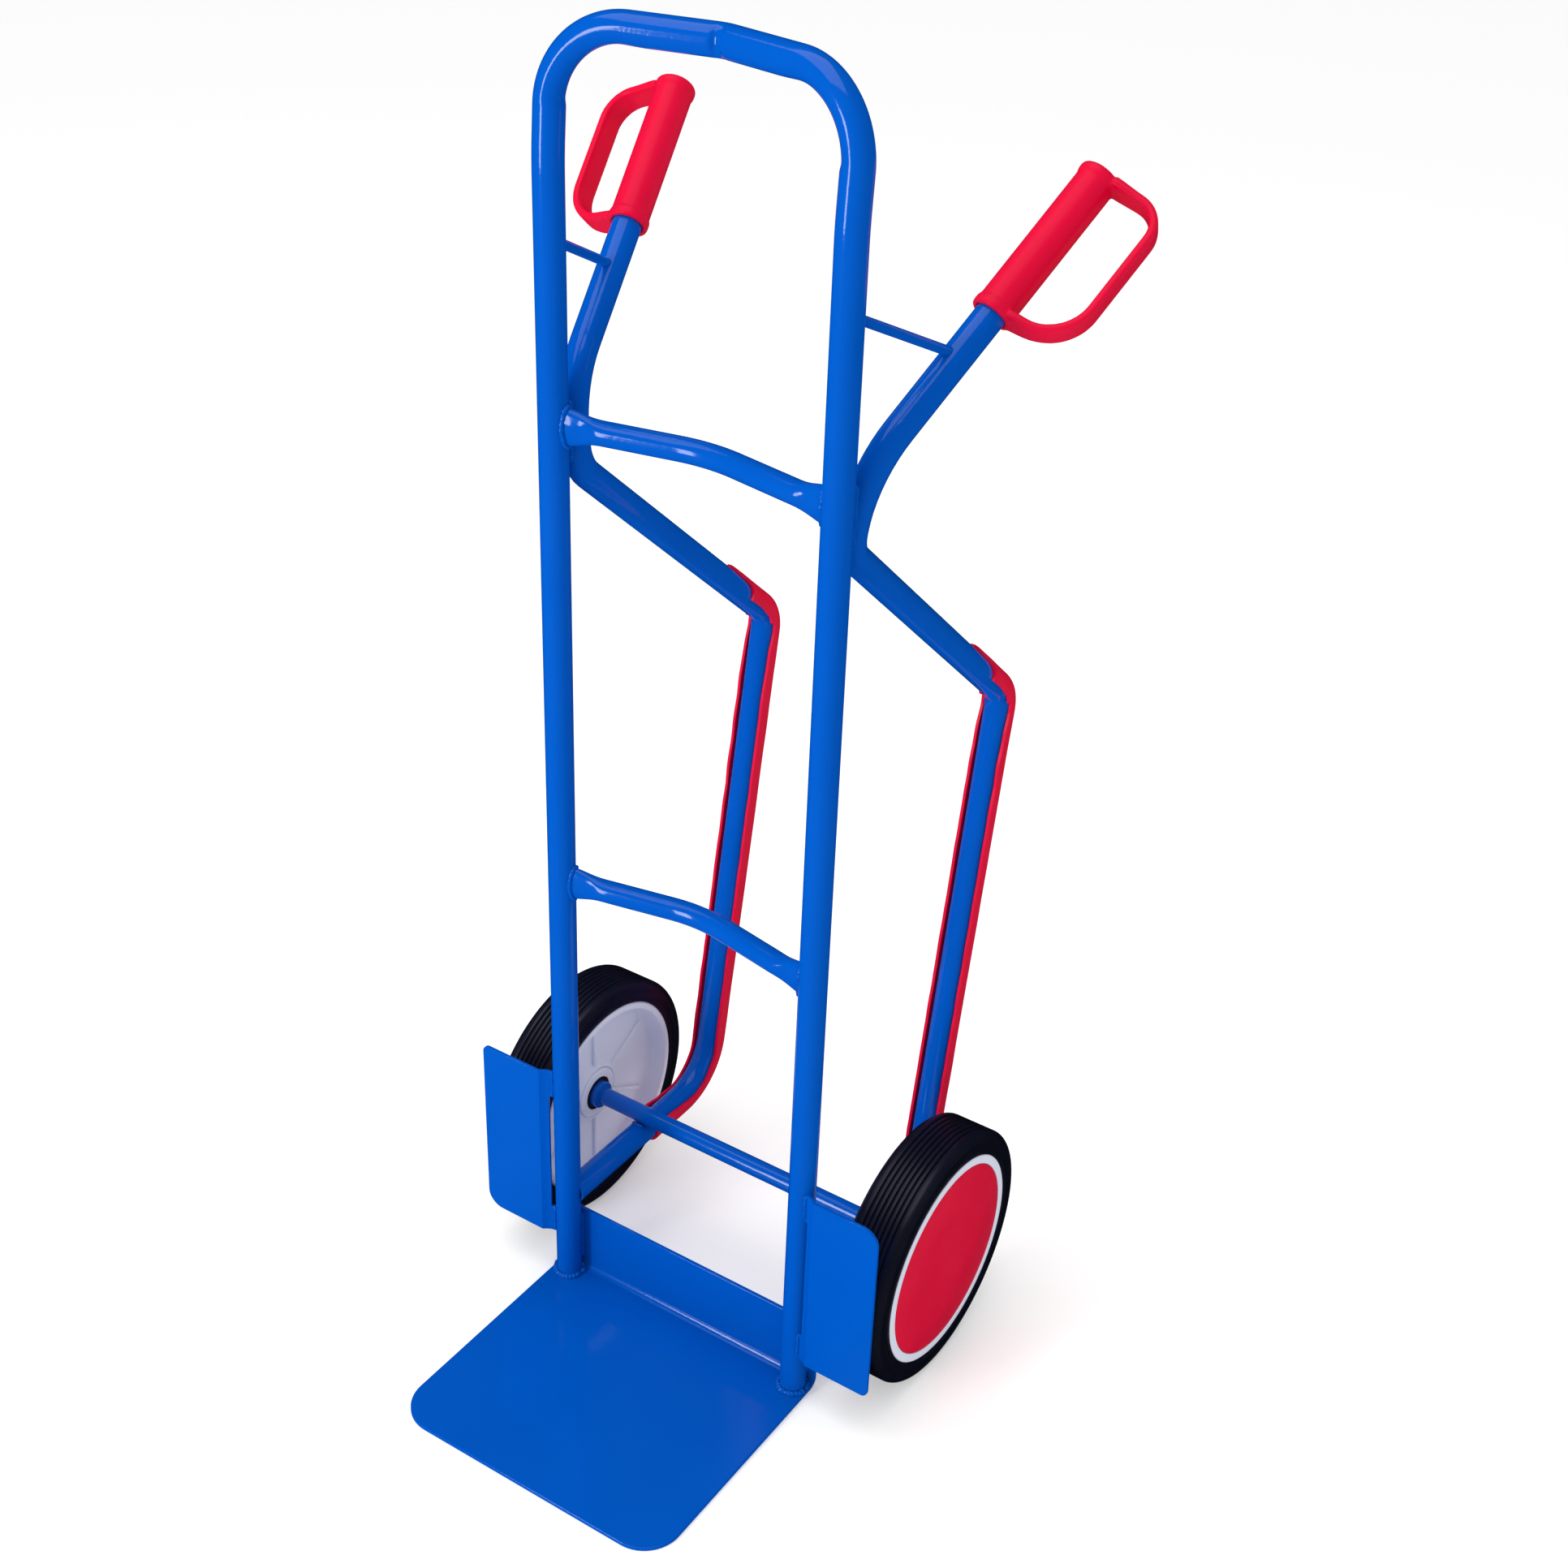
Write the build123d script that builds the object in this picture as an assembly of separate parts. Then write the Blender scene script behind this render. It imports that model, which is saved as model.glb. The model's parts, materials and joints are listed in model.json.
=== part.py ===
from build123d import *
import math
import os

# A two-wheeled stair hand truck: a bent tube hoop on a toe plate, two side tubes that each form a
# handle, a strut and a stair skid, and two solid-tyred wheels on one axle.
# Units are millimetres. X runs across the truck, +Y to the rear, +Z up. The origin is on the floor,
# midway between the two uprights. Paired pieces are built on the +X side and mirrored for -X.

# ---------------------------------------------------------------- driving dimensions
# tube stock
tube_od = 25.0
tube_wall = 2.0
weld_gap = 0.2                  # root gap that a weld bead fills

# hoop
upright_spacing = 268.0         # between the two uprights' centre lines
hoop_top_z = 1218.0             # centre line of the top bar
hoop_corner_radius = 62.0
hoop_lean_z = 1120.0            # above here the hoop leans a little to the rear
hoop_lean = 7.0                 # how far it leans at the top
hoop_lean_radius = 400.0
hoop_bow = 28.0                 # how far the middle of the top bar is bent to the rear
hoop_crease_radius = 34.0

# cross bars
crossbar_od = 20.5
crossbar_wall = 2.0
crossbar_upper_z = 907.0
crossbar_lower_z = 472.5
crossbar_bow = 27.0
crossbar_bend_radius = 140.0
crossbar_flare_height = 32.0    # height of the squashed ends
crossbar_flare_depth = 13.0
crossbar_flare_length = 20.0

# toe plate
plate_thickness = 4.0
toe_width = 300.0
toe_depth = 242.0               # from the uprights' centre line to the front edge
toe_corner_radius = 37.0
upstand_gap = 14.8              # between the upstand's top edge and the side tubes
upstand_corner_radius = 6.0
plate_bend_radius = 6.0         # inside radius of the bend

# side tubes
handle_foot_offset = 4.5        # sideways places of the tube, outwards from the upright's centre
strut_top_offset = -4.5
skid_top_offset = -5.5
skid_bottom_offset = -3.5
vertical_run_low_z = 863.0
vertical_run_high_z = 927.0
handle_bend_radius = 96.0
strut_bend_radius = 36.0
handle_splay = 60.0             # sideways rise of the handle over its whole length
handle_back = 224.5             # rearward reach of the handle
handle_rise = 183.5
skid_top_y = 309.0
skid_top_z = 617.0
skid_top_radius = 30.0
skid_bottom_y = 225.0
skid_bottom_radius = 56.0

# stay rods
rod_d = 8.0
rod_upright_z = 1057.0
rod_handle_reach = 114.0        # along the handle from its lower bend
rod_handle_rise = 5.0           # above the handle's centre line

# wheels and axle
wheel_radius = 127.0
wheel_width = 55.0
guard_clearance = 1.5           # tyre behind the wheel guard
wheel_side_gap = 26.0           # between the upright and the wheel's inner face
axle_d = 18.0
tyre_shoulder = 10.0
tyre_groove_count = 7
tyre_groove_width = 1.8
tyre_groove_depth = 2.5
tyre_groove_pitch = 4.6
tyre_thickness = 22.5           # tread to rim
rim_barrel_wall = 6.0
rim_lip_width = 16.0
rim_lip_depth = 4.0
rim_web_setback = 20.0          # web behind the wheel's inner face
rim_web_thickness = 5.0
rim_rib_count = 6
rim_rib_thickness = 3.0
rim_rib_height = 2.0
hub_radius = 24.0
hub_inner_recess = 14.0         # hub end face inside the wheel's inner face
hub_outer_recess = 15.0
bush_od = 26.0
bush_length = 11.0
bush_running_clearance = 0.05   # radial, on the axle
hub_bore_clearance = 1.0        # radial, between the bushes
seal_od = 36.0
seal_thickness = 2.5
seal_running_clearance = 0.4
collar_od = 28.0
collar_length = 7.0
end_float = 0.4                 # axial play of the wheel on the axle
washer_od = 34.0
washer_thickness = 2.0
circlip_od = 24.0
circlip_thickness = 1.5
circlip_groove_depth = 1.0
circlip_gap = 5.0
axle_end_length = 3.5           # axle beyond the circlip
axle_end_chamfer = 1.2
rim_face_width = 9.5            # pale ring left round the cap
cap_thickness = 2.5
cap_rim_clearance = 0.3
cap_skirt_depth = 7.0
cap_skirt_wall = 2.0

# wheel guards
guard_thickness = 3.0
guard_width = 72.0
guard_height = 198.5
right_guard_low_z = 53.5
left_guard_low_z = 56.5
guard_slot_width = 4.5
guard_tab_height = 30.0
guard_tab_offset = 3.5          # tab ends outwards from the upright's centre
guard_high_radius = 17.0        # outer corners of the right guard
guard_low_radius = 7.0

# grips
grip_length = 142.0
grip_wall = 3.5
grip_fit = 0.2                  # radial room between tube and grip
grip_end_wall = 4.0
grip_collar_wall = 1.2
grip_collar_length = 9.0
knuckle_reach = 64.0            # middle of the knuckle guard from the handle's axis
knuckle_droop = 17.0            # degrees that the guard hangs below the horizontal
knuckle_band = 17.0
knuckle_thickness = 6.0
knuckle_upper_radius = 20.0
knuckle_lower_radius = 36.0
knuckle_upper_inset = 4.0
knuckle_lower_inset = 5.0
knuckle_edge_radius = 2.2

# skid covers
cover_wall = 3.2
cover_fit = 0.3                 # radial room between tube and cover
cover_leg = 8.0                 # legs past the tube's centre line
cover_tip_top = 95.0            # tip from the skid's upper bend, along the cover's upper line
cover_tip_side = 59.0           # and along its sides
cover_foot_length = 102.0       # along the bottom run, ahead of the lower bend's corner
relief_radius = 22.0            # rounded cut-out of the legs at each bend
relief_setback = 3.0            # past the tube's centre line

# ---------------------------------------------------------------- derived places
tube_r = tube_od / 2
upright_x = upright_spacing / 2
axle_r = axle_d / 2
axle_z = wheel_radius
wheel_y = wheel_radius - tube_r + guard_clearance
bottom_run_z = axle_z - axle_r - weld_gap - tube_r
upstand_height = bottom_run_z - tube_r - upstand_gap
side_tube_y = tube_od + weld_gap
side_tube_foot_y = tube_r / 4
wheel_inner_x = upright_x + tube_r + wheel_side_gap
wheel_outer_x = wheel_inner_x + wheel_width
wheel_x = wheel_inner_x + wheel_width / 2
rim_radius = wheel_radius - tyre_thickness
cap_radius = rim_radius - rim_face_width
hub_inner_x = wheel_inner_x + hub_inner_recess
hub_outer_x = wheel_outer_x - hub_outer_recess
collar_outer_x = hub_inner_x - end_float
washer_x = hub_outer_x + end_float
circlip_x = washer_x + washer_thickness
axle_half_length = circlip_x + circlip_thickness + axle_end_length
upstand_front_y = tube_r + weld_gap
guard_y = -tube_r - guard_thickness / 2
across = Axis.X.direction

handle_foot = Vector(upright_x + handle_foot_offset, side_tube_y, vertical_run_high_z)
skid_bottom_x = upright_x + skid_bottom_offset
handle_tip = handle_foot + Vector(handle_splay, handle_back, handle_rise)
handle_axis = (handle_tip - handle_foot).normalized()
side_path_points = [
    handle_tip,
    handle_foot,
    Vector(upright_x + strut_top_offset, side_tube_y, vertical_run_low_z),
    Vector(upright_x + skid_top_offset, skid_top_y, skid_top_z),
    Vector(skid_bottom_x, skid_bottom_y, bottom_run_z),
    Vector(skid_bottom_x, side_tube_foot_y, bottom_run_z),
]
side_bend_radii = [handle_bend_radius, strut_bend_radius, skid_top_radius, skid_bottom_radius]


# ---------------------------------------------------------------- helpers
def section_plane(path):
    """Plane square to a path at its start; local X is across, local Y inside the path's bends."""
    return Plane(origin=path @ 0, x_dir=across, z_dir=path % 0)


def bent_tube(points, radii, outer_d, wall):
    """Hollow round tube along a polyline whose corners are rounded."""
    path = FilletPolyline(*points, radius=radii)
    ring = Circle(outer_d / 2) - Circle(outer_d / 2 - wall)
    start = Plane(origin=path @ 0, z_dir=path % 0)
    return sweep(start * ring, path=path)


def round_bar(start, end, diameter):
    """Solid round bar from one point to another."""
    run = end - start
    return Solid.make_cylinder(diameter / 2, run.length, Plane(origin=start, z_dir=run))


def disc_x(x_low, x_high, radius, bore=0.0):
    """Round disc or ring on the wheel's axis, between two places across the truck."""
    face = Circle(radius) - Circle(bore) if bore else Circle(radius)
    base = Plane(origin=(x_low, wheel_y, axle_z), x_dir=(0, 1, 0), z_dir=across)
    return extrude(base * face, amount=x_high - x_low)


def mirrored(shape):
    """The same piece on the -X side."""
    return mirror(shape, about=Plane.YZ)


# ---------------------------------------------------------------- frame
def upright_cylinder():
    """Solid stand-in for the +X upright, used to cope what is welded to it."""
    return round_bar(Vector(upright_x, 0, 0), Vector(upright_x, 0, hoop_top_z), tube_od)


def frame_hoop():
    """One tube: up from the toe plate, over the creased top bar and down again."""
    points = [
        (-upright_x, 0, plate_thickness),
        (-upright_x, 0, hoop_lean_z),
        (-upright_x, hoop_lean, hoop_top_z),
        (0, hoop_lean + hoop_bow, hoop_top_z),
        (upright_x, hoop_lean, hoop_top_z),
        (upright_x, 0, hoop_lean_z),
        (upright_x, 0, plate_thickness),
    ]
    side_radii = [hoop_lean_radius, hoop_corner_radius]
    radii = side_radii + [hoop_crease_radius] + side_radii[::-1]
    return bent_tube(points, radii, tube_od, tube_wall)


def crossbar(z):
    """Bar bent to the rear between the uprights, its squashed ends coped to them."""
    middle = Vector(0, crossbar_bow, z)
    end = Vector(upright_x, 0, z)
    outwards = (end - middle).normalized()
    neck = end - outwards * (tube_r + crossbar_flare_length)
    opposite_neck = Vector(-neck.X, neck.Y, neck.Z)
    bar = bent_tube([opposite_neck, middle, neck], [crossbar_bend_radius], crossbar_od, crossbar_wall)
    neck_plane = Plane(origin=neck, x_dir=(0, 0, 1), z_dir=outwards)
    end_plane = Plane(origin=end, x_dir=(0, 0, 1), z_dir=outwards)
    bore_r = crossbar_od / 2 - crossbar_wall
    outer_end = Ellipse(crossbar_flare_height / 2, crossbar_flare_depth / 2)
    inner_end = Ellipse(crossbar_flare_height / 2 - crossbar_wall, crossbar_flare_depth / 2 - crossbar_wall)
    flare = loft([neck_plane * Circle(crossbar_od / 2), end_plane * outer_end])
    flare -= loft([neck_plane * Circle(bore_r), end_plane * inner_end])
    flare -= upright_cylinder()
    return bar + flare + mirrored(flare)


def toe_plate():
    """Sheet bent up behind the uprights, with rounded front corners."""
    outer_radius = plate_bend_radius + plate_thickness
    rear_y = upstand_front_y + plate_thickness
    floor = Pos(0, (rear_y - toe_depth) / 2, 0) * Rectangle(toe_width, rear_y + toe_depth)
    base = extrude(floor, amount=plate_thickness)
    front = base.edges().filter_by(Axis.Z).group_by(Axis.Y)[0]
    base = fillet(front, toe_corner_radius)
    wall = Pos(0, rear_y - plate_thickness / 2, upstand_height / 2) * Box(
        toe_width, plate_thickness, upstand_height)
    top = wall.edges().filter_by(Axis.Y).group_by(Axis.Z)[-1]
    wall = fillet(top, upstand_corner_radius)
    sheet = base + wall
    heel = sheet.edges().filter_by(Axis.X).filter_by_position(Axis.Z, -0.1, 0.1).sort_by(Axis.Y)[-1]
    sheet = fillet(heel, outer_radius)
    return sheet + bend_fill()


def bend_fill():
    """Concave stretch of the sheet's bend, kept clear of the uprights' feet."""
    z = plate_thickness
    y = upstand_front_y
    room = plate_bend_radius
    outline = make_face(Polyline((y, z), (y, z + room), (y - room, z), close=True))
    arc = Pos(y - room, z + room) * Circle(room)
    outline -= arc
    fill = extrude(Plane.YZ.offset(-toe_width / 2) * outline, amount=toe_width)
    posts = upright_cylinder()
    return fill - posts - mirrored(posts)


def side_tube():
    """Handle, weld run, strut, stair skid and bottom run, bent from one tube."""
    tube = bent_tube(side_path_points, side_bend_radii, tube_od, tube_wall)
    return tube - upright_cylinder()


def stay_rod():
    """Thin rod from the upright's back to the handle, coped at both ends."""
    start = Vector(upright_x, 0, rod_upright_z)
    end = handle_foot + handle_axis * rod_handle_reach + Vector(0, 0, rod_handle_rise)
    rod = round_bar(start, end, rod_d)
    return rod - upright_cylinder() - round_bar(handle_foot, handle_tip, tube_od)


def outer_corners(sheet):
    """The guard's outer corner edges, lowest first."""
    return sheet.edges().filter_by(Axis.Y).group_by(Axis.X)[-1].sort_by(Axis.Z)


def wheel_guard(low_z):
    """Flat guard ahead of the wheel, held to the upright's front by a tab at each end."""
    tab_x = upright_x + guard_tab_offset
    slot_x = upright_x + tube_r + guard_slot_width
    outer_x = slot_x + guard_width
    middle_z = low_z + guard_height / 2
    sheet = Pos((tab_x + outer_x) / 2, guard_y, middle_z) * Box(
        outer_x - tab_x, guard_thickness, guard_height)
    sheet = fillet(outer_corners(sheet)[0], guard_low_radius)
    sheet = fillet(outer_corners(sheet)[-1], guard_high_radius)
    slot = Pos(tab_x, guard_y, middle_z) * Box(
        2 * (slot_x - tab_x), 2 * guard_thickness, guard_height - 2 * guard_tab_height)
    return sheet - slot


def turned_guard(low_z):
    """The same stamping on the -X side, turned end for end in its own plane."""
    pivot = Axis((0, guard_y, low_z + guard_height / 2), Axis.Y.direction)
    return wheel_guard(low_z).rotate(pivot, 180)


# ---------------------------------------------------------------- axle
def axle():
    """Round bar through both wheels, with a groove for a circlip near each end."""
    bar = disc_x(-axle_half_length, axle_half_length, axle_r)
    bar = chamfer(bar.edges().group_by(Axis.X)[0] + bar.edges().group_by(Axis.X)[-1], axle_end_chamfer)
    groove = disc_x(circlip_x, circlip_x + circlip_thickness, axle_r, axle_r - circlip_groove_depth)
    return bar - groove - mirrored(groove)


def axle_collar():
    """Collar welded round the axle, which stops the wheel from moving inwards."""
    collar = disc_x(collar_outer_x - collar_length, collar_outer_x, collar_od / 2, axle_r)
    inner_edge = collar.edges().group_by(Axis.X)[0].sort_by(SortBy.LENGTH)[-1]
    return fillet(inner_edge, collar_length / 4)


def washer():
    return disc_x(washer_x, washer_x + washer_thickness, washer_od / 2, axle_r + bush_running_clearance)


def circlip():
    """Open spring ring in the axle's groove."""
    ring = disc_x(circlip_x, circlip_x + circlip_thickness, circlip_od / 2, axle_r - circlip_groove_depth)
    gap = Pos(circlip_x, wheel_y, axle_z + circlip_od / 2) * Box(circlip_od, circlip_gap, circlip_od)
    return ring - gap


# ---------------------------------------------------------------- wheel
def tyre():
    """Solid rubber tyre with rounded shoulders and grooves round the tread."""
    body = disc_x(wheel_inner_x, wheel_outer_x, wheel_radius, rim_radius)
    shoulders = [e for e in body.edges().filter_by(GeomType.CIRCLE) if e.radius > wheel_radius - 0.1]
    body = fillet(shoulders, tyre_shoulder)
    for index in range(tyre_groove_count):
        middle = wheel_x + (index - (tyre_groove_count - 1) / 2) * tyre_groove_pitch
        half = tyre_groove_width / 2
        body -= disc_x(middle - half, middle + half, wheel_radius + 1, wheel_radius - tyre_groove_depth)
    return body


def rim():
    """Plastic rim: lipped barrel, web, ribs on the inner side and a hub for the bushes."""
    barrel_r = rim_radius - rim_barrel_wall
    lip_r = rim_radius - rim_lip_width
    web_x = wheel_inner_x + rim_web_setback
    body = disc_x(wheel_inner_x, wheel_outer_x, rim_radius, barrel_r)
    body += disc_x(wheel_inner_x, wheel_inner_x + rim_lip_depth, rim_radius, lip_r)
    body += disc_x(wheel_outer_x - rim_lip_depth, wheel_outer_x, rim_radius, cap_radius + cap_rim_clearance)
    body += disc_x(web_x, web_x + rim_web_thickness, barrel_r)
    body += disc_x(hub_inner_x, hub_outer_x, hub_radius)
    rib_low = web_x - rim_rib_height
    rib_reach = barrel_r - hub_radius / 2
    for index in range(rim_rib_count):
        rib = Pos((rib_low + web_x) / 2, wheel_y, axle_z + hub_radius / 2 + rib_reach / 2) * Box(
            web_x - rib_low, rim_rib_thickness, rib_reach)
        turn = 360 / rim_rib_count * index
        body += rib.rotate(Axis((0, wheel_y, axle_z), across), turn)
    bore = disc_x(wheel_inner_x, wheel_outer_x, axle_r + hub_bore_clearance)
    for seat in bush_seats():
        body -= disc_x(*seat, bush_od / 2)
    body -= disc_x(hub_inner_x, hub_inner_x + seal_thickness, seal_od / 2)
    return body - bore


def bush_seats():
    """Where each of the hub's two bushes starts and ends."""
    inner = (hub_inner_x + seal_thickness, hub_inner_x + seal_thickness + bush_length)
    outer = (hub_outer_x - bush_length, hub_outer_x)
    return inner, outer


def bush(seat):
    return disc_x(*seat, bush_od / 2, axle_r + bush_running_clearance)


def hub_seal():
    """Black ring let into the hub's inner end."""
    return disc_x(hub_inner_x, hub_inner_x + seal_thickness, seal_od / 2, axle_r + seal_running_clearance)


def hub_cap():
    """Flat disc that closes the wheel's outer side, with a skirt that snaps into the rim."""
    cap = disc_x(wheel_outer_x - cap_thickness, wheel_outer_x, cap_radius)
    outer_edge = cap.edges().group_by(Axis.X)[-1]
    cap = fillet(outer_edge, cap_thickness / 3)
    skirt_x = wheel_outer_x - cap_thickness
    cap += disc_x(skirt_x - cap_skirt_depth, skirt_x, cap_radius, cap_radius - cap_skirt_wall)
    return cap


# ---------------------------------------------------------------- grips and skid covers
def grip():
    """Moulded sleeve, closed at the top, with a knuckle guard on its outer side."""
    sleeve_r = tube_r + grip_fit + grip_wall
    collar_r = sleeve_r + grip_collar_wall
    base = handle_tip - handle_axis * (grip_length - grip_end_wall)
    frame = Plane(origin=base, x_dir=knuckle_direction(), z_dir=handle_axis)
    body = frame * Cylinder(sleeve_r, grip_length, align=(Align.CENTER, Align.CENTER, Align.MIN))
    for height in (0, grip_length - grip_collar_length):
        collar = Cylinder(collar_r, grip_collar_length, align=(Align.CENTER, Align.CENTER, Align.MIN))
        collar = fillet(collar.edges().filter_by(GeomType.CIRCLE), grip_collar_wall)
        body += frame * Pos(0, 0, height) * collar
    body += frame * knuckle_guard(sleeve_r)
    bore = Cylinder(tube_r + grip_fit, grip_length - grip_end_wall + grip_fit,
                    align=(Align.CENTER, Align.CENTER, Align.MIN))
    return body - frame * bore


def knuckle_direction():
    """Outward direction of the knuckle guard, square to the handle and hanging a little."""
    side = (across - handle_axis * across.dot(handle_axis)).normalized()
    return side.rotate(Axis((0, 0, 0), handle_axis), knuckle_droop)


def knuckle_guard(sleeve_r):
    """Band that loops from collar to collar; local X is outwards and local Z up the handle."""
    low = grip_collar_length / 2
    high = grip_length - grip_collar_length / 2
    path = FilletPolyline(
        (sleeve_r - grip_wall / 2, 0, low),
        (knuckle_reach, 0, low + knuckle_lower_inset),
        (knuckle_reach, 0, high - knuckle_upper_inset),
        (sleeve_r - grip_wall / 2, 0, high),
        radius=[knuckle_lower_radius, knuckle_upper_radius],
    )
    start = Plane(origin=path @ 0, x_dir=(0, 1, 0), z_dir=path % 0)
    return sweep(start * RectangleRounded(knuckle_band, knuckle_thickness, knuckle_edge_radius), path=path)


def skid_cover():
    """U channel clipped over the back of the skid, its legs cut away round both bends."""
    corner = side_path_points[3]
    up_strut = (side_path_points[2] - corner).normalized()
    points = [
        corner + up_strut * cover_tip_top,
        corner,
        side_path_points[4],
        side_path_points[4] - Vector(0, cover_foot_length, 0),
    ]
    radii = [skid_top_radius, skid_bottom_radius]
    path = FilletPolyline(*points, radius=radii)
    inner_r = tube_r + cover_fit
    outer_r = inner_r + cover_wall
    channel = Circle(outer_r) + Pos(0, cover_leg / 2) * Rectangle(2 * outer_r, cover_leg)
    channel -= Circle(inner_r) + Pos(0, outer_r) * Rectangle(2 * inner_r, 2 * outer_r)
    channel -= Pos(0, cover_leg + outer_r) * Rectangle(4 * outer_r, 2 * outer_r)
    cover = sweep(section_plane(path) * channel, path=path)
    for index, radius in enumerate(radii, start=1):
        cover -= bend_relief(points, index, radius)
    return cover - tip_cut(corner, up_strut, outer_r)


def bend_relief(points, corner, bend_radius):
    """Cylinder across the truck that removes the channel's legs inside a bend."""
    before = (points[corner - 1] - points[corner]).normalized()
    after = (points[corner + 1] - points[corner]).normalized()
    inwards = (before + after).normalized()
    half_turn = math.radians(180 - before.get_angle(after)) / 2
    bend_middle = bend_radius * (1 / math.cos(half_turn) - 1)
    middle = points[corner] + inwards * (bend_middle + relief_setback + relief_radius)
    reach = Vector(2 * tube_od, 0, 0)
    return round_bar(middle - reach, middle + reach, 2 * relief_radius)


def tip_cut(corner, up_strut, outer_r):
    """Prism across the truck: it slants the cover's tip and takes its legs off the strut."""
    plane = Plane(origin=corner - across * 2 * tube_od, x_dir=up_strut, z_dir=across)
    end = cover_tip_top + outer_r
    outline = Polyline((cover_tip_top, -outer_r), (cover_tip_side, 0), (relief_radius, 0),
                       (relief_radius, tube_od), (end, tube_od), (end, -outer_r), close=True)
    return extrude(plane * make_face(outline), amount=4 * tube_od)


# ---------------------------------------------------------------- write every node
def build():
    single = {
        "frame_hoop": frame_hoop(),
        "crossbar_upper": crossbar(crossbar_upper_z),
        "crossbar_lower": crossbar(crossbar_lower_z),
        "toe_plate": toe_plate(),
        "axle": axle(),
    }
    inner_seat, outer_seat = bush_seats()
    paired = {
        "side_tube": side_tube(),
        "stay_rod": stay_rod(),
        "axle_collar": axle_collar(),
        "washer": washer(),
        "circlip": circlip(),
        "tyre": tyre(),
        "rim": rim(),
        "inner_bush": bush(inner_seat),
        "outer_bush": bush(outer_seat),
        "hub_seal": hub_seal(),
        "hub_cap": hub_cap(),
        "grip": grip(),
        "skid_cover": skid_cover(),
    }
    nodes = dict(single)
    for name, shape in paired.items():
        nodes["right_" + name] = shape
        nodes["left_" + name] = mirrored(shape)
    nodes["right_wheel_guard"] = wheel_guard(right_guard_low_z)
    nodes["left_wheel_guard"] = turned_guard(left_guard_low_z)
    return nodes


os.makedirs("parts", exist_ok=True)
for node, shape in build().items():
    export_step(shape, "parts/" + node + ".step")
    print(node, round(shape.volume / 1000, 2), "cm3")
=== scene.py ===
# %% [markdown]
# # A stair hand truck, finished in Blender
# The frame, wheels and grips of this truck were designed in CAD. Here they get their looks: paint,
# rubber, moulded plastic, weld beads, rolled edges and soft blends. The CAD model gives every size
# and place, so the first step is to load it.

# %% Load the CAD frame
import json
import math
import random

import bmesh
import bpy
from mathutils import Matrix, Vector, noise


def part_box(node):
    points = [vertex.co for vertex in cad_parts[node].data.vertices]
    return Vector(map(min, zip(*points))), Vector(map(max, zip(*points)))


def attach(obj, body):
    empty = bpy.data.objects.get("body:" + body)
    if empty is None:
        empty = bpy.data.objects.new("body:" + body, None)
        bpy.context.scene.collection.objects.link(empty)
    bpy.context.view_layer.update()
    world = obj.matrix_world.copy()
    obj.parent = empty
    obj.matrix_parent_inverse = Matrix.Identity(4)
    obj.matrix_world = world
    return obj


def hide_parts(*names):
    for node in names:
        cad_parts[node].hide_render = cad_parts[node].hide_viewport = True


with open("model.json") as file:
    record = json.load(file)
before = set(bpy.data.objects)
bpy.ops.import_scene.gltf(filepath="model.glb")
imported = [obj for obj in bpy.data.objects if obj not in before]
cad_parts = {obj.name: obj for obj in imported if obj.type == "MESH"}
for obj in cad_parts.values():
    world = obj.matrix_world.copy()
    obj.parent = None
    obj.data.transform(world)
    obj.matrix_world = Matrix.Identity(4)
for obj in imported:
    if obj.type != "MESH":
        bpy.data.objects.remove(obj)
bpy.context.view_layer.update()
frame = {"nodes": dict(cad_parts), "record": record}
mm = 0.001

# %% [markdown]
# ## Reading sizes from the CAD
# A new piece has to sit exactly where its CAD node is. A node's box gives its middle and its size,
# so a wheel's centre and radius, for instance, never have to be typed in again.

# %% Middle and size of a node
ACROSS = Vector((1, 0, 0))
REARWARD = Vector((0, 1, 0))
UP = Vector((0, 0, 1))
SIDES = {"right": 1, "left": -1}


def middle(node):
    low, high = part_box(node)
    return (low + high) / 2


def size(node):
    low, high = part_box(node)
    return high - low


wheel_centre = middle("right_tyre")
tyre_radius = size("right_tyre").z / 2
print("wheel centre", tuple(round(c / mm, 1) for c in wheel_centre), "mm")

# %% [markdown]
# ## Writing shader maths as Python
# A finish is a small network of nodes. Wiring each one by hand is hard to read, so this class wraps
# one output socket and lets Python's own operators add the Math nodes: `0.3 + 0.1 * grain` becomes
# two nodes. The reflected forms make it work with the plain number on the left.

# %% A value that changes over a surface
class Value:
    def __init__(self, finish, socket):
        self.finish = finish
        self.socket = socket

    def maths(self, operation, first, second):
        return self.finish.add("Math", {"operation": operation}, {0: first, 1: second})

    def __add__(self, other):
        return self.maths("ADD", self, other)

    def __mul__(self, other):
        return self.maths("MULTIPLY", self, other)

    __radd__ = __add__
    __rmul__ = __mul__


# %% [markdown]
# A finish owns one material. Its `add` method makes any other node: settings come first, because they
# can change which sockets the node has, and then its inputs are filled with plain values or linked to
# other nodes. Patterns read Object coordinates. Every piece keeps its origin at the truck's own
# origin, so those are simply metres in the truck's frame.

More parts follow.
